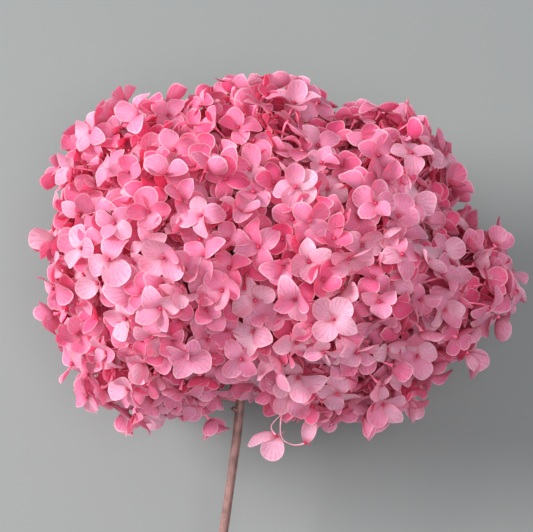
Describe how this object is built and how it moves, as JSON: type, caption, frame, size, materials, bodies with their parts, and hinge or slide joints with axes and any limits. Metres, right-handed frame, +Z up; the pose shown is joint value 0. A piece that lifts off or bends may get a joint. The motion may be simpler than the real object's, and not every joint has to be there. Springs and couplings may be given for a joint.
{
  "type": "dried hydrangea stem",
  "caption": "Preserved pink hydrangea head of crowded four-sepal florets on a bare cut stem, lying on a surface.",
  "frame": {"origin": "centre of the bounding box at the surface that the flower lies on", "axes": "+Z up from the surface, +Y from the stem's cut end towards the head, +X to the right seen from the stem's side"},
  "size_m": [0.2154, 0.3128, 0.177],
  "materials": {
    "stem_bark": "dusty pink-brown dried bark",
    "ray_bark": "dull reddish dried branch",
    "petal": "soft matte dyed petal",
    "fertile": "dried spent flower knobs"
  },
  "bodies": {
    "root": {"stem": "stem_bark", "ray_01": "ray_bark", "ray_02": "ray_bark", "ray_03": "ray_bark", "ray_04": "ray_bark", "ray_05": "ray_bark", "ray_06": "ray_bark", "ray_07": "ray_bark", "ray_08": "ray_bark", "ray_09": "ray_bark", "ray_10": "ray_bark", "cyme_01": "petal", "cyme_02": "petal", "cyme_03": "petal", "cyme_04": "petal", "cyme_05": "petal", "cyme_06": "petal", "cyme_07": "petal", "cyme_08": "petal", "cyme_09": "petal", "cyme_10": "petal", "cyme_11": "petal", "cyme_12": "petal", "cyme_13": "petal", "cyme_14": "petal", "cyme_15": "petal", "cyme_16": "petal", "cyme_17": "petal", "cyme_18": "petal", "cyme_19": "petal", "cyme_20": "petal", "cyme_21": "petal", "cyme_22": "petal", "cyme_23": "petal", "cyme_24": "petal", "cyme_25": "petal", "cyme_26": "petal", "cyme_27": "petal", "cyme_28": "petal", "cyme_29": "petal", "cyme_30": "petal", "cyme_31": "petal", "cyme_32": "petal", "cyme_33": "petal", "cyme_34": "petal", "cyme_35": "petal", "cyme_36": "petal", "cyme_37": "petal", "cyme_38": "petal", "cyme_39": "petal", "cyme_40": "petal", "cyme_41": "petal", "cyme_42": "petal", "cyme_43": "petal", "cyme_44": "petal", "cyme_hanging": "petal", "sprig_fertile_1": "fertile", "sprig_fertile_2": "fertile"}
  },
  "joints": []
}
